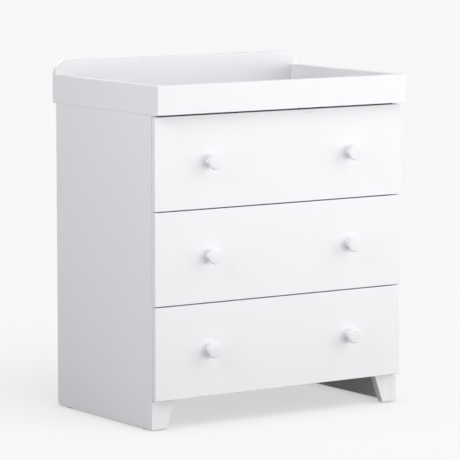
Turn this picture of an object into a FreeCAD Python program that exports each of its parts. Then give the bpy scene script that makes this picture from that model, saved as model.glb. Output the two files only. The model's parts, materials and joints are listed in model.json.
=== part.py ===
import FreeCAD, Part
import math
import os
from FreeCAD import Vector

# A white lacquered nursery dresser with three drawers and a changing tray on top.
# Millimetres.  +Z is up, the drawers open towards -Y and +X is on the right of someone
# who stands in front.  The origin lies on the floor, under the middle of the whole piece.

# ---------------------------------------------------------------- carcass
carcass_width = 784.0        # over the outer faces of the two side panels
carcass_depth = 464.0        # a side panel, from front edge to rear edge
panel_t = 18.0               # side panels and top board
glide_t = 3.0                # floor glides lift the panels this much
glide_r = 8.0
glide_from_front = 45.0
glide_from_rear = 52.0
heel_r = 10.0                # rounded lower rear corner of a side panel
arris = 1.0                  # small rounding on every painted board edge
rear_sheet_t = 3.0           # thin sheet that closes the back
rear_sheet_inset = 10.0      # rear edge of the side panels to the sheet
groove_depth = 6.0
groove_play = 0.4            # a groove is this much wider than its sheet

# ---------------------------------------------------------------- drawer fronts
front_count = 3
front_h = 240.5
front_t = 15.5
front_stand_off = 0.5        # air between the fronts and the carcass
front_side_inset = 1.5       # a front is this much short of the carcass on each side
reveal = 3.0                 # air between two fronts
foot_clearance = 79.0        # floor to the lowest front
top_reveal = 5.5             # highest front to the underside of the top board

# ---------------------------------------------------------------- changing tray
tray_side_overhang = 1.0
tray_front_overhang = 18.0   # past the faces of the drawer fronts
tray_rail_t = 20.0
tray_rail_rise = 57.0        # rails above the tray floor
back_board_t = 16.0
back_board_rise = 38.0       # back board above the rails
back_corner_r = 35.0
back_arris = 2.0

# ---------------------------------------------------------------- rails and feet
rail_t = 18.0
base_rail_h = 30.0
top_rail_h = 60.0
foot_t = 20.0
foot_width_floor = 45.0      # a front foot with the panel edge, at the bottom
foot_width_top = 72.5        # the same at the height of the lowest front

# ---------------------------------------------------------------- drawer boxes
box_t = 12.0
box_lift = 36.0              # lower edge of a front to the lower edge of its box
box_top_gap = 44.5           # upper edge of a box to the upper edge of its front
box_side_gap = 12.5          # box side to side panel, the room for a runner
box_rear_gap = 14.0          # back of a box to the rear rails
bottom_t = 4.0
bottom_lift = 12.0           # lower edge of the box to the underside of its bottom

# ---------------------------------------------------------------- knobs
knob_r = 20.0
knob_base_r = 12.5
knob_neck_r = 8.0
knob_flange_r = 18.0         # back of the head
knob_face_r = 17.6           # where the rim turns into the face
knob_reach = 29.0            # drawer front to the tip of a knob
knob_neck_at = 11.0          # front to the narrowest place of the neck
knob_flange_at = 20.0        # front to the back of the head
knob_rim_at = 24.0           # front to the widest place of the head
knob_face_at = 28.2          # front to where the rim turns into the face
knob_foot_fill = 0.25        # how full the hollow curve of the foot is, 0 for none
knob_flare_fill = 0.26       # the same for the curve from the neck to the head
knob_flare_place = 0.7       # where that curve is measured, from neck to head
knob_from_side = 170.0       # knob axis to the outer face of the nearer side panel

# ---------------------------------------------------------------- roller runners
gauge = 1.2                  # folded steel
runner_setback = 3.0         # carcass front to the start of a cabinet runner
runner_end_gap = 19.5        # a runner ends this much before the back of the box
runner_overlap = 100.0       # length of runner still in the cabinet when a drawer is open
channel_reach = 10.5         # side panel to the open side of the channel
channel_h = 24.5             # inside height of the channel
channel_drop = 1.5           # channel floor below the lower edge of a box side
track_width = 8.0
track_lift = 22.0            # lower edge of a box side to the top of the track
roller_r = 10.0
roller_w = 7.0
roller_shoulder = 0.5        # rounding of a roller's two rims
roller_play = 0.25           # roller to the track above it or the floor below it
roller_bore_play = 0.06
roller_from_end = 12.0
axle_r = 2.5
axle_side_play = 0.5         # runner web to the roller
rivet_r = 4.2
rivet_t = 0.7
rivet_play = 0.2             # roller to the rivet head
stop_h = 3.0                 # bump in the channel floor that ends the travel
stop_length = 4.0

# ---------------------------------------------------------------- fasteners
hole_play = 0.15             # added to a fastener's radius for its hole
end_play = 0.3               # added to a fastener's length for a blind hole
dowel_r = 4.0
dowel_half = 15.0
dowel_shallow = 10.0         # the end of a dowel that enters a board's flat face
foot_dowel_inset = 14.0      # side panel to the upright dowel in a foot block
joint_edge = 68.0            # first fastener of a panel's upper joint to the panel's edge
joint_count = 5              # cams and dowels in that joint
cam_r = 7.5
cam_depth = 12.0
cam_from_joint = 34.0
cam_edge = 10.0              # middle of a rail's cam to the upper edge of the rail
box_cam_depth = 9.0
box_cam_from_joint = 24.0
box_joint_edge = 40.0        # corner fasteners to the upper and lower edge of a box side
bolt_r = 3.0
bolt_in = 10.0
screw_r = 2.0
screw_head_r = 4.2
screw_head_t = 2.4
pan_head_r = 3.6
pan_head_t = 1.2
cross_reach = 1.9            # middle of a screw head to the end of its driver slots
cross_width = 0.9
cross_depth = 0.9
cam_cross_reach = 4.2        # the same for the slots in a cam disc
cam_cross_width = 1.5
cam_cross_depth = 3.0
screw_edge = 40.0            # first and last screw of a row to the end of the row
board_screw_count = 5        # along the back and the front of the tray
tray_screw_in = 26.0         # what a screw holds past the board under its head
corner_screw_in = 20.0
knob_screw_in = 12.0
runner_screw_in = 9.8
box_runner_screws = 2
cabinet_runner_screws = 3
sheet_screw_in = 10.0
sheet_screw_edge = 70.0      # side panel to the first screw of the rear sheet
sheet_screw_count = 5

# ---------------------------------------------------------------- derived places
front_reach = front_t + front_stand_off
reach_forward = front_reach + max(knob_reach, tray_front_overhang)
y_front = reach_forward - (reach_forward + carcass_depth + back_board_t) / 2
y_rear = y_front + carcass_depth
y_back = y_rear + back_board_t
y_face = y_front - front_reach
y_tray = y_face - tray_front_overhang
y_sheet = y_rear - rear_sheet_inset - rear_sheet_t
y_rear_rail = y_sheet - rail_t

x_side = carcass_width / 2
x_inner = x_side - panel_t
x_tray = x_side + tray_side_overhang

z_top = foot_clearance + front_count * front_h + (front_count - 1) * reveal + top_reveal
z_tray = z_top + panel_t
z_rail = z_tray + tray_rail_rise
z_back = z_rail + back_board_rise

y_box = y_front - front_stand_off
y_box_end = y_rear_rail - box_rear_gap
x_box = x_inner - box_side_gap
x_board = x_box - box_t
box_h = front_h - box_lift - box_top_gap

runner_length = y_box_end - runner_end_gap - y_box
drawer_travel = runner_length - runner_overlap
y_runner = y_front + runner_setback
y_box_roller = y_box + runner_length - roller_from_end
stop_reach = math.sqrt(roller_r ** 2 - (roller_r + roller_play - stop_h) ** 2) + roller_play

X = Vector(1, 0, 0)
Y = Vector(0, 1, 0)
Z = Vector(0, 0, 1)
ends = {-1: "left", 1: "right"}

nodes = {}                   # node name -> shape
cutters = {}                 # node name -> tools cut out of it at the end


# ================================================================ helpers
def block(xa, xb, ya, yb, za, zb):
    """A plain box between two corners given in any order."""
    low = Vector(min(xa, xb), min(ya, yb), min(za, zb))
    return Part.makeBox(abs(xb - xa), abs(yb - ya), abs(zb - za), low)


def board(xa, xb, ya, yb, za, zb):
    """A painted board with every edge softly rounded."""
    plain = block(xa, xb, ya, yb, za, zb)
    return plain.makeFillet(arris, plain.Edges)


def rod(start, direction, radius, length):
    return Part.makeCylinder(radius, length, start, direction)


def prism(points, direction):
    """A flat outline pushed along a direction."""
    return Part.Face(Part.makePolygon(points + points[:1])).extrude(direction)


def arc(a, b, c):
    return Part.Arc(a, b, c).toShape()


def cut_from(names, tool):
    for name in names:
        cutters.setdefault(name, []).append(tool)


def spread(first, last, count):
    """Evenly spaced places, both ends included."""
    return [first + (last - first) * i / (count - 1) for i in range(count)]


def cross(mouth, inward, reach, width, depth):
    """Two crossed driver slots; inward runs from their mouth into the metal."""
    level = Vector(inward.y, inward.z, inward.x)
    slots = []
    for long, short in ((level, inward.cross(level)), (inward.cross(level), level)):
        a, b = long * reach, short * (width / 2)
        slots.append(prism([mouth + a + b, mouth - a + b, mouth - a - b, mouth + a - b],
                           inward * depth))
    return slots


def dowel(joint, direction, shallow_in, deep_in):
    """A wooden dowel that crosses a joint; direction points into the deep side."""
    length = dowel_shallow + dowel_half
    start = joint - direction * dowel_shallow
    cut_from([shallow_in], rod(start - direction * end_play, direction,
                               dowel_r + hole_play, dowel_shallow + end_play))
    cut_from([deep_in], rod(joint, direction, dowel_r + hole_play, dowel_half + end_play))
    return rod(start, direction, dowel_r, length)


def cam_pair(joint, direction, inward, half_t, bolt_side, cam_side,
             reach=cam_from_joint, depth=cam_depth):
    """A cam disc in one board and the bolt that it pulls out of the other.

    direction runs from the bolt's board into the cam's board; inward runs from the open
    face of the cam's hole into the wood, half_t is from the bolt to that face."""
    mouth = joint + direction * reach - inward * half_t
    disc = rod(mouth, inward, cam_r, depth)
    disc = disc.cut(cross(mouth, inward, cam_cross_reach, cam_cross_width, cam_cross_depth))
    bolt_start = joint - direction * bolt_in
    bolt_end = reach - cam_r - end_play
    bolt = rod(bolt_start, direction, bolt_r, bolt_in + bolt_end)
    cut_from([cam_side], rod(mouth, inward, cam_r + hole_play, depth + end_play))
    cut_from([cam_side], rod(joint, direction, bolt_r + hole_play, reach))
    cut_from([bolt_side], rod(bolt_start - direction * end_play, direction,
                              bolt_r + hole_play, bolt_in + end_play))
    return [disc, bolt]


def sunk_screw(head, direction, length, through):
    """A countersunk screw; head is the middle of the flush head, through lists its nodes."""
    cone = Part.makeCone(screw_head_r, screw_r, screw_head_t, head, direction)
    hole_cone = Part.makeCone(screw_head_r + hole_play, screw_r + hole_play,
                              screw_head_t, head, direction)
    hole = rod(head, direction, screw_r + hole_play, length + end_play)
    cut_from(through, hole_cone.fuse(hole))
    screw = cone.fuse(rod(head, direction, screw_r, length))
    return screw.cut(cross(head, direction, cross_reach, cross_width, cross_depth))


def pan_screw(seat, direction, length, through, head_r=pan_head_r, head_t=pan_head_t):
    """A pan-head screw whose head sits on a surface at seat."""
    cut_from(through, rod(seat, direction, screw_r + hole_play, length + end_play))
    crown = seat - direction * head_t
    screw = rod(crown, direction, head_r, head_t).fuse(rod(seat, direction, screw_r, length))
    return screw.cut(cross(crown, direction, cross_reach, cross_width, cross_depth))


# ================================================================ carcass boards
def side_panel(side, name):
    """A side panel with a rounded heel and the groove for the rear sheet."""
    plain = block(side * x_inner, side * x_side, y_front, y_rear, glide_t, z_top)
    heel = [e for e in plain.Edges
            if abs(e.CenterOfMass.y - y_rear) < arris / 2
            and abs(e.CenterOfMass.z - glide_t) < arris / 2]
    shaped = plain.makeFillet(heel_r, heel)
    shaped = shaped.makeFillet(arris, [e for e in shaped.Edges if e.Length > panel_t + heel_r])
    groove = block(side * (x_inner - groove_depth), side * (x_inner + groove_depth),
                   y_sheet - groove_play / 2, y_sheet + rear_sheet_t + groove_play / 2,
                   foot_clearance, z_top)
    nodes[name] = shaped.cut(groove)


def foot_block(side, name):
    """A tapered block inside the front edge of a side panel; the two read as one foot."""
    toe = foot_width_floor - panel_t
    root = foot_width_top - panel_t
    outline = [
        Vector(side * x_inner, y_front, glide_t),
        Vector(side * (x_inner - toe), y_front, glide_t),
        Vector(side * (x_inner - root), y_front, foot_clearance),
        Vector(side * x_inner, y_front, foot_clearance),
    ]
    plain = prism(outline, Y * foot_t)
    nodes[name] = plain.makeFillet(arris, plain.Edges)


def top_board():
    """The tray's floor; only the lower edge of its two ends is rounded."""
    plain = block(-x_tray, x_tray, y_tray + tray_rail_t, y_rear, z_top, z_tray)
    low_ends = [e for e in plain.Edges
                if abs(e.CenterOfMass.x) > x_tray - arris / 2
                and abs(e.CenterOfMass.z - z_top) < arris / 2]
    nodes["top_board"] = plain.makeFillet(arris, low_ends)


for side, end in ends.items():
    side_panel(side, "side_panel_" + end)
    foot_block(side, "foot_block_" + end)
top_board()

sheet_x = x_inner + groove_depth - groove_play
nodes["rear_sheet"] = block(-sheet_x, sheet_x, y_sheet, y_sheet + rear_sheet_t,
                            foot_clearance, z_top)

rail_places = {
    "base_rail_front": (y_front, foot_clearance, base_rail_h),
    "base_rail_rear": (y_rear_rail, foot_clearance, base_rail_h),
    "top_rail_rear": (y_rear_rail, z_top - top_rail_h, top_rail_h),
}
for name, (y_low, z_low, height) in rail_places.items():
    nodes[name] = board(-x_inner, x_inner, y_low, y_low + rail_t, z_low, z_low + height)

glide_places = [Vector(side * (x_side - panel_t / 2), y, 0)
                for side in ends
                for y in (y_front + glide_from_front, y_rear - glide_from_rear)]
nodes["floor_glides"] = Part.makeCompound([rod(p, Z, glide_r, glide_t) for p in glide_places])


# ================================================================ changing tray
def tray_front_rail():
    """The front rail hides the front edge of the top board and is mitred above it."""
    y_in = y_tray + tray_rail_t
    mitre = [Vector(-x_tray, y_tray, z_tray), Vector(x_tray, y_tray, z_tray),
             Vector(x_tray - tray_rail_t, y_in, z_tray),
             Vector(-x_tray + tray_rail_t, y_in, z_tray)]
    lower = block(-x_tray, x_tray, y_tray, y_in, z_top, z_tray)
    rail = lower.fuse(prism(mitre, Z * tray_rail_rise)).removeSplitter()
    long_edges = [e for e in rail.Edges
                  if e.Length > carcass_width / 2 and abs(e.CenterOfMass.z - z_tray) > arris]
    nodes["tray_front_rail"] = rail.makeFillet(arris, long_edges)


def tray_side_rail(side, name):
    """A side rail stands on the top board, mitred in front, square at the back board."""
    outline = [Vector(side * x_tray, y_tray, z_tray), Vector(side * x_tray, y_rear, z_tray),
               Vector(side * (x_tray - tray_rail_t), y_rear, z_tray),
               Vector(side * (x_tray - tray_rail_t), y_tray + tray_rail_t, z_tray)]
    rail = prism(outline, Z * tray_rail_rise)
    upper_edges = [e for e in rail.Edges
                   if e.BoundBox.YLength > carcass_depth / 2 and e.CenterOfMass.z > z_tray]
    nodes[name] = rail.makeFillet(arris, upper_edges)


def tray_back_board():
    """The tall back board, with its two upper corners rounded."""
    z_arc = z_back - back_corner_r
    x_arc = x_tray - back_corner_r
    slope = back_corner_r * math.sqrt(0.5)
    low_left, low_right = Vector(-x_tray, y_rear, z_top), Vector(x_tray, y_rear, z_top)
    right = Vector(x_tray, y_rear, z_arc)
    right_mid = Vector(x_arc + slope, y_rear, z_arc + slope)
    top_right, top_left = Vector(x_arc, y_rear, z_back), Vector(-x_arc, y_rear, z_back)
    left_mid = Vector(-x_arc - slope, y_rear, z_arc + slope)
    left = Vector(-x_tray, y_rear, z_arc)
    outline = Part.Wire([Part.makeLine(low_left, low_right), Part.makeLine(low_right, right),
                         arc(right, right_mid, top_right), Part.makeLine(top_right, top_left),
                         arc(top_left, left_mid, left), Part.makeLine(left, low_left)])
    plain = Part.Face(outline).extrude(Y * back_board_t)
    rounded = [e for e in plain.Edges if e.BoundBox.YLength < arris / 2]
    nodes["tray_back_board"] = plain.makeFillet(back_arris, rounded)


tray_front_rail()
for side, end in ends.items():
    tray_side_rail(side, "tray_rail_" + end)
tray_back_board()


# ================================================================ runners and rollers
def front_roller_z(z_box):
    """The cabinet's roller, just under the track of the drawer."""
    return z_box + track_lift - gauge - roller_play - roller_r


def rear_roller_z(z_box):
    """The drawer's roller, just above the floor of the channel."""
    return z_box - channel_drop + roller_play + roller_r


def axle(start, outward):
    """A riveted axle: a pin with a flat head that keeps the roller on."""
    pin_length = axle_side_play + roller_w + rivet_play
    pin = rod(start, outward, axle_r, pin_length + rivet_t)
    return pin.fuse(rod(start + outward * pin_length, outward, rivet_r, rivet_t))


def roller(start, outward):
    """A plastic roller on its axle, with soft shoulders."""
    near = start + outward * axle_side_play
    disc = rod(near, outward, roller_r, roller_w)
    rims = [e for e in disc.Edges if e.Length > roller_r * math.pi]
    disc = disc.makeFillet(roller_shoulder, rims)
    return disc.cut(rod(near, outward, axle_r + roller_bore_play, roller_w))


def cabinet_runner(side, z_box):
    """A channel on the side panel, open towards the drawer, with an axle in front.

    A bump in its floor meets the drawer's roller at the end of the travel.
    Returns the shape and the root of its axle."""
    z_floor = z_box - channel_drop
    y_end = y_runner + runner_length
    x_open = side * (x_inner - channel_reach)
    web = block(side * x_inner, side * (x_inner - gauge), y_runner, y_end,
                z_floor - gauge, z_floor + channel_h + gauge)
    floor = block(side * x_inner, x_open, y_runner, y_end, z_floor - gauge, z_floor)
    lip = floor.translated(Z * (channel_h + gauge))
    y_stop = y_box_roller - drawer_travel - stop_reach
    stop = block(side * x_inner, x_open, y_stop - stop_length, y_stop, z_floor, z_floor + stop_h)
    root = Vector(side * (x_inner - gauge), y_runner + roller_from_end, front_roller_z(z_box))
    return web.multiFuse([floor, lip, stop, axle(root, X * -side)]).removeSplitter(), root


def drawer_runner(side, z_box):
    """A folded strip under the box side; its outer track rides on the cabinet's roller.

    Returns the shape and the root of its axle."""
    y_end = y_box + runner_length
    x_web = x_box + gauge
    web = block(side * x_box, side * x_web, y_box, y_end, z_box - gauge, z_box + track_lift)
    ledge = block(side * x_board, side * x_web, y_box, y_end, z_box - gauge, z_box)
    track = block(side * x_web, side * (x_web + track_width), y_box, y_end,
                  z_box + track_lift - gauge, z_box + track_lift)
    root = Vector(side * x_web, y_box_roller, rear_roller_z(z_box))
    return web.multiFuse([ledge, track, axle(root, X * side)]).removeSplitter(), root


def runner_pairs(number, z_box):
    """Both runner pairs of a drawer with their rollers.

    Returns the screws into the drawer box and the screws into the side panels."""
    cabinet_rollers, box_rollers, box_screws, panel_screws = [], [], [], []
    z_channel_screw = z_box - channel_drop + channel_h / 2
    z_box_screw = z_box + bottom_lift / 2
    for side, end in ends.items():
        channel = "cabinet_runner_%s_%d" % (end, number)
        strip = "drawer_runner_%s_%d" % (end, number)
        nodes[channel], root = cabinet_runner(side, z_box)
        cabinet_rollers.append(roller(root, X * -side))
        nodes[strip], root = drawer_runner(side, z_box)
        box_rollers.append(roller(root, X * side))
        for y in spread(y_box + screw_edge, y_box + runner_length - screw_edge,
                        box_runner_screws):
            seat = Vector(side * (x_box + gauge), y, z_box_screw)
            box_screws.append(pan_screw(seat, X * -side, gauge + runner_screw_in,
                                        ["drawer_side_%s_%d" % (end, number), strip]))
        for y in spread(y_runner + screw_edge, y_runner + runner_length - screw_edge,
                        cabinet_runner_screws):
            seat = Vector(side * (x_inner - gauge), y, z_channel_screw)
            panel_screws.append(pan_screw(seat, X * side, gauge + runner_screw_in,
                                          ["side_panel_" + end, channel]))
    nodes["cabinet_rollers_%d" % number] = Part.makeCompound(cabinet_rollers)
    nodes["drawer_rollers_%d" % number] = Part.makeCompound(box_rollers)
    return box_screws, panel_screws


# ================================================================ drawers
def drawer_boards(number, z_low, z_box):
    """Front, back, sides and bottom; the bottom slides into its groove from behind."""
    x_front = x_side - front_side_inset
    x_groove = x_board + groove_depth
    z_bottom = z_box + bottom_lift
    slip = groove_play / 2
    front = "drawer_front_%d" % number
    nodes[front] = board(-x_front, x_front, y_face, y_box, z_low, z_low + front_h)
    nodes["drawer_back_%d" % number] = board(-x_board, x_board, y_box_end - box_t, y_box_end,
                                             z_bottom + bottom_t, z_box + box_h)
    nodes["drawer_bottom_%d" % number] = block(slip - x_groove, x_groove - slip,
                                               y_box - groove_depth + slip, y_box_end,
                                               z_bottom, z_bottom + bottom_t)
    groove = block(-x_groove, x_groove, y_box - groove_depth, y_box_end + arris,
                   z_bottom, z_bottom + bottom_t + groove_play)
    cut_from([front], groove)
    for side, end in ends.items():
        name = "drawer_side_%s_%d" % (end, number)
        nodes[name] = board(side * x_board, side * x_box, y_box, y_box_end,
                            z_box, z_box + box_h)
        cut_from([name], groove)


def box_joints(number, z_box):
    """Cams hold the sides to the front and screws hold them to the back."""
    found = []
    for side, end in ends.items():
        name = "drawer_side_%s_%d" % (end, number)
        for z in (z_box + box_joint_edge, z_box + box_h - box_joint_edge):
            joint = Vector(side * (x_box - box_t / 2), y_box, z)
            found += cam_pair(joint, Y, X * -side, box_t / 2, "drawer_front_%d" % number, name,
                              box_cam_from_joint, box_cam_depth)
            head = Vector(side * x_box, y_box_end - box_t / 2, z)
            found.append(sunk_screw(head, X * -side, box_t + corner_screw_in,
                                    [name, "drawer_back_%d" % number]))
    return found


def knob(x, z):
    """A turned knob: a flared foot, a slim neck and a head with an almost flat face."""
    def at(radius, out):
        return Vector(x + radius, y_face - out, z)
    foot_mid_r = knob_neck_r + (knob_base_r - knob_neck_r) * knob_foot_fill
    flare_mid_r = knob_neck_r + (knob_flange_r - knob_neck_r) * knob_flare_fill
    flare_mid_at = knob_neck_at + (knob_flange_at - knob_neck_at) * knob_flare_place
    dome = knob_reach - knob_face_at
    dome_r = (knob_face_r ** 2 + dome ** 2) / (2 * dome)
    dome_mid_at = knob_reach - dome_r + math.sqrt(dome_r ** 2 - knob_face_r ** 2 / 4)
    edges = [
        Part.makeLine(at(0, 0), at(knob_base_r, 0)),
        arc(at(knob_base_r, 0), at(foot_mid_r, knob_neck_at / 2), at(knob_neck_r, knob_neck_at)),
        arc(at(knob_neck_r, knob_neck_at), at(flare_mid_r, flare_mid_at),
            at(knob_flange_r, knob_flange_at)),
        arc(at(knob_flange_r, knob_flange_at), at(knob_r, knob_rim_at),
            at(knob_face_r, knob_face_at)),
        arc(at(knob_face_r, knob_face_at), at(knob_face_r / 2, dome_mid_at), at(0, knob_reach)),
        Part.makeLine(at(0, knob_reach), at(0, 0)),
    ]
    return Part.Face(Part.Wire(edges)).revolve(Vector(x, y_face, z), Y, 360)


def knob_pair(number, z_knob):
    """Two knobs on a front; returns the screws that hold them from inside the drawer."""
    screws = []
    for side, end in ends.items():
        name = "knob_%s_%d" % (end, number)
        x_knob = side * (x_side - knob_from_side)
        nodes[name] = knob(x_knob, z_knob)
        screws.append(pan_screw(Vector(x_knob, y_box, z_knob), -Y, front_t + knob_screw_in,
                                ["drawer_front_%d" % number, name],
                                screw_head_r, screw_head_t))
    return screws


carcass_screws = []
for index in range(front_count):
    number = index + 1
    z_low = z_top - top_reveal - front_h - index * (front_h + reveal)
    z_box = z_low + box_lift
    drawer_boards(number, z_low, z_box)
    box_screws, panel_screws = runner_pairs(number, z_box)
    carcass_screws += panel_screws
    fixings = box_joints(number, z_box) + knob_pair(number, z_low + front_h / 2) + box_screws
    nodes["drawer_fixings_%d" % number] = Part.makeCompound(fixings)


# ================================================================ carcass fasteners
def rail_joints(side, panel):
    """Cams that pull the three rails against a side panel."""
    found = []
    for name, (y_low, z_low, height) in rail_places.items():
        inward = -Y if name == "base_rail_front" else Y
        joint = Vector(side * x_inner, y_low + rail_t / 2, z_low + height - cam_edge)
        found += cam_pair(joint, X * -side, inward, rail_t / 2, panel, name)
    return found


def top_joints(side, panel, rail):
    """Cams and dowels from the top board down into a side panel, dowels up into a rail."""
    x_panel = side * (x_side - panel_t / 2)
    x_rail = side * (x_tray - tray_rail_t / 2)
    row = spread(y_front + joint_edge, y_rear - joint_edge, joint_count)
    cams, dowels = [], []
    for y in (row[0], row[-1]):
        cams += cam_pair(Vector(x_panel, y, z_top), -Z, X * side, panel_t / 2,
                         "top_board", panel)
    for y in row[1:-1]:
        dowels.append(dowel(Vector(x_panel, y, z_top), -Z, "top_board", panel))
    for y, y_next in zip(row, row[1:]):
        dowels.append(dowel(Vector(x_rail, (y + y_next) / 2, z_tray), Z, "top_board", rail))
    return cams, dowels


def foot_joints(side, panel, foot):
    """Two dowels hold a foot block, one up into the base rail and one into the panel."""
    upright = Vector(side * (x_inner - foot_dowel_inset), y_front + rail_t / 2, foot_clearance)
    level = Vector(side * x_inner, y_front + foot_t / 2, foot_clearance / 2)
    return [dowel(upright, -Z, "base_rail_front", foot), dowel(level, X * -side, panel, foot)]


cams, dowels, tray_screws = [], [], []
for side, end in ends.items():
    panel, rail, foot = "side_panel_" + end, "tray_rail_" + end, "foot_block_" + end
    cams += rail_joints(side, panel)
    more_cams, more_dowels = top_joints(side, panel, rail)
    cams += more_cams
    dowels += more_dowels + foot_joints(side, panel, foot)
    head = Vector(side * (x_tray - tray_rail_t / 2), y_back, z_tray + tray_rail_rise / 2)
    tray_screws.append(sunk_screw(head, -Y, back_board_t + tray_screw_in,
                                  ["tray_back_board", rail]))

z_board = z_top + panel_t / 2
for x in spread(screw_edge - x_inner, x_inner - screw_edge, board_screw_count):
    dowels.append(dowel(Vector(x, y_tray + tray_rail_t, z_board), Y,
                        "tray_front_rail", "top_board"))
    tray_screws.append(sunk_screw(Vector(x, y_back, z_board), -Y, back_board_t + tray_screw_in,
                                  ["tray_back_board", "top_board"]))
for x in spread(sheet_screw_edge - x_inner, x_inner - sheet_screw_edge, sheet_screw_count):
    for name in ("base_rail_rear", "top_rail_rear"):
        y_low, z_low, height = rail_places[name]
        seat = Vector(x, y_sheet + rear_sheet_t, z_low + height / 2)
        carcass_screws.append(pan_screw(seat, -Y, rear_sheet_t + sheet_screw_in,
                                        ["rear_sheet", name]))

nodes["cam_fittings"] = Part.makeCompound(cams)
nodes["dowels"] = Part.makeCompound(dowels)
nodes["tray_screws"] = Part.makeCompound(tray_screws)
nodes["carcass_screws"] = Part.makeCompound(carcass_screws)


# ================================================================ holes, then files
for name, tools in cutters.items():
    nodes[name] = nodes[name].cut(tools)

os.makedirs("parts", exist_ok=True)
for name, shape in nodes.items():
    shape.exportStep("parts/%s.step" % name)
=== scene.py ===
import json
import math

import bpy
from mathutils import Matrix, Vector

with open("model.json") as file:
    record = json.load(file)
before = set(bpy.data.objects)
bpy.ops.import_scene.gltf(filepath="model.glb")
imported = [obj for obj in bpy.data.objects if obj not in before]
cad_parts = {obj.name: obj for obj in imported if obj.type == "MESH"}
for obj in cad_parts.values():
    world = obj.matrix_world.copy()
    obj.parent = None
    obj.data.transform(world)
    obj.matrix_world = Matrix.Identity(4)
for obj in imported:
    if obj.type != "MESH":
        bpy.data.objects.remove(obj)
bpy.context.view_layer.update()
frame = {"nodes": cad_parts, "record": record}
nodes = frame["nodes"]

# ---------------------------------------------------------------- camera, metres and radians
camera_place = (-4.594, -6.734, 1.455)
camera_turn = 0.5985         # to the right of straight ahead
camera_dip = 0.1201          # below the horizon
focal_px = 3075.6            # focal length in pixels of a frame 460 pixels wide
frame_px = 460.0
sensor_mm = 36.0
far_clip = 200.0

# ---------------------------------------------------------------- light, where 1.0 is white
ground_tone = 0.93           # what the camera sees of the floor and the backdrop
sky_tone = 0.06              # faint light from all round
neutral = (1.0, 1.0, 1.0)
cool = (0.98, 0.97, 1.0)     # the left-hand boxes have a faint violet cast
softboxes = {                # metres and watts: place, width, height, power, colour
    "front_low": ((0.5, -2.8, 0.6), 2.4, 1.0, 29.0, neutral),
    "front_wide": ((2.8, -3.6, 1.4), 4.0, 2.4, 19.6, neutral),
    "left_low": ((-3.0, -1.0, 0.5), 1.5, 1.5, 22.0, cool),
    "left_high": ((-3.0, -1.0, 2.6), 1.5, 1.5, 52.0, cool),
    "right_low": ((3.6, -1.6, 0.9), 2.4, 1.6, 36.0, neutral),
    "right_high": ((4.0, -2.0, 3.4), 4.5, 3.5, 119.0, neutral),
    "top": ((0.6, -2.2, 4.0), 4.0, 3.0, 38.0, neutral),
    "rear": ((0.0, 4.0, 2.5), 3.0, 2.0, 106.0, neutral),
}
softbox_aim = (0.0, -0.25, 0.45)
floor_lamps = {              # degrees: height, turn to the right of the front, width; strength
    "floor_dome": (90.0, 0.0, 90.0, 2.09),
    "floor_front": (50.0, 10.0, 60.0, 1.86),
}
floor_albedo = 0.8           # paper under the floor lamps, as the camera sees it
floor_return = 0.28          # the same paper's share of light sent back to the piece
floor_plain = 0.67           # share of the floor's tone that shows no cast shadow
painted_shadow_reach = 0.05         # metres that the painted contact shadow beside feet and panels reaches
painted_shadow_tone = 0.72          # the darkest part of that painted shadow, against open paper
floor_half = 60.0            # from the middle of the floor to its edges

seen_rays = ("Is Camera Ray", "Is Glossy Ray", "Is Transmission Ray")


# ================================================================ node helpers
mix_colours = (6, 7)         # places of the two colour inputs of a Mix node
mix_result = 2               # place of its colour output
bevel_samples = 4


def scaled(tone, share):
    return tuple(channel * share for channel in tone)


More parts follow.
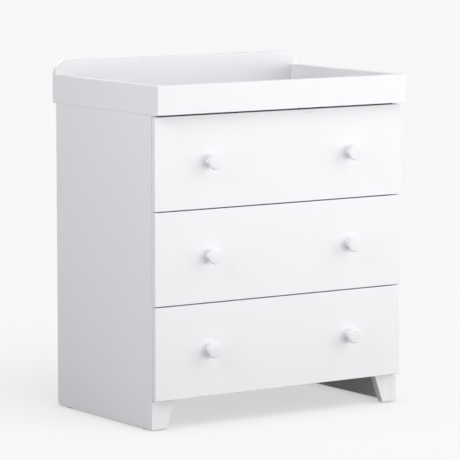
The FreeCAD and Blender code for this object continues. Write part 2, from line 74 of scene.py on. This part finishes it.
class Surface:
    """A node material with a Principled shader; positions are in metres in the frame."""

    def __init__(self, name):
        self.material = bpy.data.materials.new(name)
        self.material.use_nodes = True
        self.tree = self.material.node_tree
        self.shader = self.tree.nodes["Principled BSDF"]
        self.place = self.node("ShaderNodeTexCoord").outputs["Object"]

    def node(self, kind, **settings):
        made = self.tree.nodes.new(kind)
        for key, value in settings.items():
            setattr(made, key, value)
        return made

    def link(self, source, target):
        self.tree.links.new(source, target)

    def plain(self, socket, value):
        self.shader.inputs[socket].default_value = value

    def stretched(self, x, y, z):
        """The place, scaled along each axis, for grain and brushing."""
        mapping = self.node("ShaderNodeMapping")
        mapping.inputs["Scale"].default_value = (x, y, z)
        self.link(self.place, mapping.inputs["Vector"])
        return mapping.outputs["Vector"]

    def noise(self, scale, detail, rough=0.5, vector=None):
        made = self.node("ShaderNodeTexNoise")
        made.inputs["Scale"].default_value = scale
        made.inputs["Detail"].default_value = detail
        made.inputs["Roughness"].default_value = rough
        self.link(vector or self.place, made.inputs["Vector"])
        return made.outputs["Fac"]

    def ranged(self, value, low, high, from_low=0.3, from_high=0.7):
        """A value brought into a new range; a noise lies mostly between 0.3 and 0.7."""
        made = self.node("ShaderNodeMapRange")
        made.inputs["From Min"].default_value = from_low
        made.inputs["From Max"].default_value = from_high
        made.inputs["To Min"].default_value = low
        made.inputs["To Max"].default_value = high
        self.link(value, made.inputs["Value"])
        return made.outputs["Result"]

    def mixed(self, factor, one, two):
        """A colour between two, each a colour or a socket."""
        made = self.node("ShaderNodeMix", data_type="RGBA")
        self.link(factor, made.inputs["Factor"])
        for place, colour in zip(mix_colours, (one, two)):
            socket = made.inputs[place]
            if isinstance(colour, tuple):
                socket.default_value = colour + (1.0,)
            else:
                self.link(colour, socket)
        return made.outputs[mix_result]

    def edges(self, radius):
        """0 on flat faces, towards 1 on sharp edges."""
        bevel = self.node("ShaderNodeBevel", samples=bevel_samples)
        bevel.inputs["Radius"].default_value = radius
        geometry = self.node("ShaderNodeNewGeometry")
        dot = self.node("ShaderNodeVectorMath", operation="DOT_PRODUCT")
        self.link(bevel.outputs["Normal"], dot.inputs[0])
        self.link(geometry.outputs["Normal"], dot.inputs[1])
        return self.ranged(dot.outputs["Value"], 1.0, 0.0, from_low=0.85, from_high=0.995)

    def bump(self, height, distance, under=None):
        made = self.node("ShaderNodeBump")
        made.inputs["Distance"].default_value = distance
        self.link(height, made.inputs["Height"])
        if under is not None:
            self.link(under, made.inputs["Normal"])
        return made.outputs["Normal"]

    def finish(self, colour, roughness, normal):
        self.link(colour, self.shader.inputs["Base Color"])
        self.link(roughness, self.shader.inputs["Roughness"])
        self.link(normal, self.shader.inputs["Normal"])
        return self.material


# ================================================================ materials
def lacquer(name, tone, sheen_low, sheen_high):
    """White sprayed lacquer: a slow drift of tone, a painted highlight along the edges and
    fine orange peel.
    """
    s = Surface(name)
    drift = s.ranged(s.noise(2.3, 3.0), 0.0, 1.0)
    body = s.mixed(drift, tone, scaled(tone, 0.985))
    # painted highlight: the edges are made 3 % lighter than the body
    edge_highlight_and_wear = s.mixed(s.edges(0.0012), body, scaled(tone, 1.03))
    rough = s.ranged(s.noise(14.0, 4.0), sheen_low, sheen_high)
    peel = s.bump(s.noise(420.0, 2.0), 0.00006)
    dust = s.bump(s.noise(2600.0, 1.0), 0.000008, peel)
    s.plain("Specular IOR Level", 0.45)
    return s.finish(edge_highlight_and_wear, rough, dust)


def foiled_board(name, tone):
    """White foil on board, with a faint embossed grain that runs level."""
    s = Surface(name)
    grain = s.noise(60.0, 4.0, rough=0.6, vector=s.stretched(0.12, 0.12, 2.0))
    body = s.mixed(s.ranged(grain, 0.0, 1.0), tone, scaled(tone, 0.97))
    rough = s.ranged(s.noise(9.0, 3.0), 0.46, 0.58)
    return s.finish(body, rough, s.bump(grain, 0.00008))


def fibreboard(name, tone):
    """Thin hard fibreboard with a white face: tiny fibres and specks."""
    s = Surface(name)
    fibre = s.noise(480.0, 5.0, rough=0.7)
    cloud = s.noise(7.0, 3.0)
    body = s.mixed(s.ranged(fibre, 0.0, 1.0), tone, scaled(tone, 0.95))
    body = s.mixed(s.ranged(cloud, 0.0, 0.35), body, scaled(tone, 0.96))
    rough = s.ranged(cloud, 0.62, 0.74)
    return s.finish(body, rough, s.bump(fibre, 0.00005))


def powder_coat(name, tone):
    """Powder-coated folded steel: a fine pebbled skin, greyer at the folds."""
    s = Surface(name)
    pebble = s.noise(1500.0, 2.0)
    body = s.mixed(s.ranged(s.noise(25.0, 2.0), 0.0, 1.0), tone, scaled(tone, 0.97))
    edge_highlight_and_wear = s.mixed(s.edges(0.0006), body, (0.62, 0.62, 0.61))
    rough = s.ranged(pebble, 0.38, 0.5)
    return s.finish(edge_highlight_and_wear, rough, s.bump(pebble, 0.00003))


def moulded(name, tone, low, high):
    """Moulded plastic with a faint spark-eroded texture."""
    s = Surface(name)
    skin = s.noise(1100.0, 2.0)
    body = s.mixed(s.ranged(s.noise(90.0, 2.0), 0.0, 1.0), tone, scaled(tone, 0.94))
    rough = s.ranged(s.noise(40.0, 2.0), low, high)
    s.plain("Subsurface Weight", 0.08)
    s.plain("Subsurface Radius", (0.002, 0.002, 0.002))
    return s.finish(body, rough, s.bump(skin, 0.00002))


def zinc(name, tone, low, high):
    """Plated steel or zinc: cloudy plating with fine scratches."""
    s = Surface(name)
    cloud = s.noise(220.0, 4.0, rough=0.6)
    scratch = s.noise(900.0, 2.0, rough=0.5, vector=s.stretched(1.0, 0.15, 1.0))
    body = s.mixed(s.ranged(cloud, 0.0, 1.0), tone, scaled(tone, 0.82))
    rough = s.ranged(cloud, low, high)
    s.plain("Metallic", 1.0)
    return s.finish(body, rough, s.bump(scratch, 0.00002))


def beech(name):
    """Plain beech with pores drawn out along x."""
    s = Surface(name)
    pore = s.noise(700.0, 4.0, rough=0.6, vector=s.stretched(0.12, 1.0, 1.0))
    body = s.mixed(s.ranged(pore, 0.0, 1.0), (0.62, 0.42, 0.24), (0.48, 0.3, 0.16))
    rough = s.ranged(pore, 0.5, 0.65)
    return s.finish(body, rough, s.bump(pore, 0.00005))


def dress_nodes():
    """Every node gets the material of its slot in the record."""
    made = {
        "white_lacquer": lacquer("white_lacquer", (0.84, 0.84, 0.86), 0.36, 0.46),
        "knob_lacquer": lacquer("knob_lacquer", (0.81, 0.81, 0.83), 0.34, 0.44),
        "drawer_board": foiled_board("drawer_board", (0.8, 0.8, 0.8)),
        "hardboard": fibreboard("hardboard", (0.74, 0.74, 0.73)),
        "runner_steel": powder_coat("runner_steel", (0.78, 0.78, 0.77)),
        "roller_plastic": moulded("roller_plastic", (0.66, 0.66, 0.64), 0.34, 0.44),
        "glide_plastic": moulded("glide_plastic", (0.6, 0.6, 0.6), 0.45, 0.55),
        "zinc_fittings": zinc("zinc_fittings", (0.42, 0.42, 0.43), 0.38, 0.55),
        "zinc_screws": zinc("zinc_screws", (0.52, 0.52, 0.53), 0.25, 0.4),
        "beech_dowel": beech("beech_dowel"),
    }
    for entry in frame["record"]["subparts"]:
        mesh = nodes[entry["node"]].data
        mesh.materials.clear()
        mesh.materials.append(made[entry["material_slot"]])


# ================================================================ stage, light and camera
def light_path(tree, *kinds):
    """1 for a ray of any of the kinds."""
    ray = tree.nodes.new("ShaderNodeLightPath")
    found = ray.outputs[kinds[0]]
    for kind in kinds[1:]:
        either = tree.nodes.new("ShaderNodeMath")
        either.operation = "MAXIMUM"
        tree.links.new(found, either.inputs[0])
        tree.links.new(ray.outputs[kind], either.inputs[1])
        found = either.outputs[0]
    return found


def mixed_shader(tree, factor, one, two):
    """The first shader at factor 0, the second at 1; the factor is a number or a socket."""
    mix = tree.nodes.new("ShaderNodeMixShader")
    if isinstance(factor, float):
        mix.inputs[0].default_value = factor
    else:
        tree.links.new(factor, mix.inputs[0])
    tree.links.new(one.outputs[0], mix.inputs[1])
    tree.links.new(two.outputs[0], mix.inputs[2])
    return mix


def grey(tree, kind, tone):
    """A node of the kind, with a grey in its Color socket."""
    made = tree.nodes.new(kind)
    made.inputs["Color"].default_value = (tone, tone, tone, 1.0)
    return made


def make_floor():
    """Pale paper: part of its tone is plain, the rest takes light and shadow.

    Close to feet and panels the plain part darkens too, a painted contact shadow made with an
    occlusion node. Other rays than the seen ones meet a darker paper, which sends less light
    back to the piece.
    """
    mesh = bpy.data.meshes.new("floor")
    h = floor_half
    mesh.from_pydata([(-h, -h, 0), (h, -h, 0), (h, h, 0), (-h, h, 0)], [], [(0, 1, 2, 3)])
    floor = bpy.data.objects.new("floor", mesh)
    bpy.context.scene.collection.objects.link(floor)
    material = bpy.data.materials.new("floor_paper")
    material.use_nodes = True
    tree = material.node_tree
    tree.nodes.remove(tree.nodes["Principled BSDF"])
    lit = grey(tree, "ShaderNodeBsdfDiffuse", floor_albedo)
    plain = grey(tree, "ShaderNodeEmission", ground_tone)
    # painted contact shadow: occlusion darkens the plain, emitted part of the floor near feet
    # and panels
    contact = tree.nodes.new("ShaderNodeAmbientOcclusion")
    contact.inputs["Distance"].default_value = painted_shadow_reach
    painted_shadow_depth = tree.nodes.new("ShaderNodeMapRange")
    painted_shadow_depth.inputs["To Min"].default_value = painted_shadow_tone
    tree.links.new(contact.outputs["AO"], painted_shadow_depth.inputs["Value"])
    tree.links.new(painted_shadow_depth.outputs["Result"], plain.inputs["Strength"])
    sent_back = grey(tree, "ShaderNodeBsdfDiffuse", floor_return)
    seen = mixed_shader(tree, floor_plain, lit, plain)
    whole = mixed_shader(tree, light_path(tree, *seen_rays), sent_back, seen)
    tree.links.new(whole.outputs[0], tree.nodes["Material Output"].inputs["Surface"])
    mesh.materials.append(material)
    return floor


def make_world():
    """Faint light from all round; the camera and reflections see the backdrop's tone."""
    world = bpy.data.worlds.new("studio")
    bpy.context.scene.world = world
    world.use_nodes = True
    tree = world.node_tree
    tree.nodes.remove(tree.nodes["Background"])
    soft = grey(tree, "ShaderNodeBackground", sky_tone)
    backdrop = grey(tree, "ShaderNodeBackground", ground_tone)
    whole = mixed_shader(tree, light_path(tree, *seen_rays), soft, backdrop)
    tree.links.new(whole.outputs[0], tree.nodes["World Output"].inputs["Surface"])


def add_lamp(name, kind, floor, floor_only):
    """A lamp that lights either the floor alone or everything but the floor."""
    lamp = bpy.data.objects.new(name, bpy.data.lights.new(name, kind))
    bpy.context.scene.collection.objects.link(lamp)
    lit = bpy.data.collections.new(name + "_lights")
    lit.objects.link(floor)
    if not floor_only:
        lit.collection_objects[0].light_linking.link_state = "EXCLUDE"
    lamp.light_linking.receiver_collection = lit
    return lamp


def make_lamps(floor):
    """Softboxes round the piece, hidden from the camera, and the floor's own lamps."""
    for name, (place, width, height, watts, colour) in softboxes.items():
        lamp = add_lamp(name, "AREA", floor, False)
        lamp.data.shape = "RECTANGLE"
        lamp.data.size = width
        lamp.data.size_y = height
        lamp.data.energy = watts
        lamp.data.color = colour
        lamp.location = place
        lamp.visible_camera = False
        aim = Vector(softbox_aim) - Vector(place)
        lamp.rotation_euler = aim.to_track_quat("-Z", "Y").to_euler()
    for name, (height, turn, width, strength) in floor_lamps.items():
        lamp = add_lamp(name, "SUN", floor, True)
        lamp.data.energy = strength
        lamp.data.angle = math.radians(width)
        lamp.rotation_euler = (math.radians(90 - height), 0.0, math.radians(turn))


def make_camera():
    """The photograph's view, from the front left and a little above."""
    data = bpy.data.cameras.new("camera")
    data.sensor_width = sensor_mm
    data.lens = focal_px / frame_px * sensor_mm
    data.clip_end = far_clip
    camera = bpy.data.objects.new("camera", data)
    camera.location = camera_place
    camera.rotation_euler = (math.pi / 2 - camera_dip, 0.0, -camera_turn)
    bpy.context.scene.collection.objects.link(camera)
    bpy.context.scene.camera = camera


dress_nodes()
make_world()
make_lamps(make_floor())
make_camera()
bpy.context.scene.view_settings.view_transform = "Standard"
